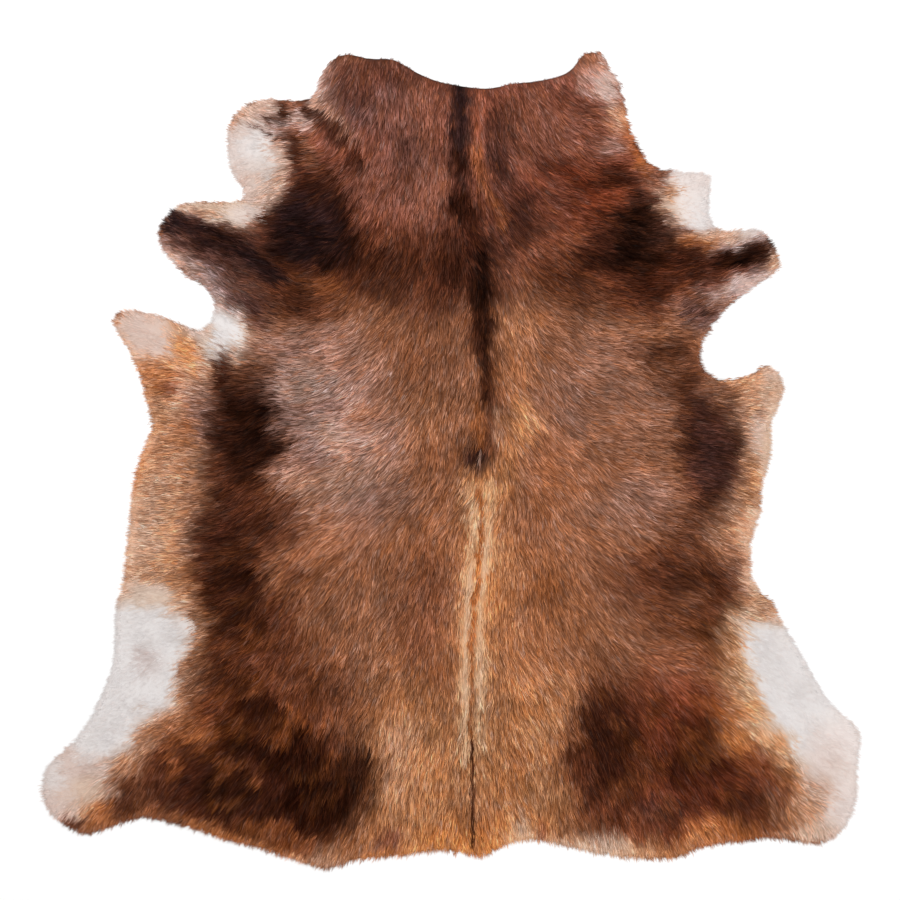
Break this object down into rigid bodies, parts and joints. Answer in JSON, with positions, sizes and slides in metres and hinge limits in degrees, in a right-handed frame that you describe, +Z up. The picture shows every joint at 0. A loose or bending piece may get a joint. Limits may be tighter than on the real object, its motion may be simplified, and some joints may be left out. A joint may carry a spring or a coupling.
{
  "type": "cowhide rug",
  "caption": "Whole cowhide lying flat, hair side up, with neck, cheek flaps, legs and hind feet left on and tufts of hair round its rim.",
  "frame": {"origin": "on the floor under the middle of the bounding box, which lies on the back beside the spine", "axes": "+Z up from the floor through the hair, +Y along the spine to the neck, +X to the side of the right hind foot as seen from above"},
  "size_m": [2, 2, 0.0198],
  "materials": {
    "hide": "satin"
  },
  "bodies": {
    "root": {"cowhide": "hide"}
  },
  "joints": []
}
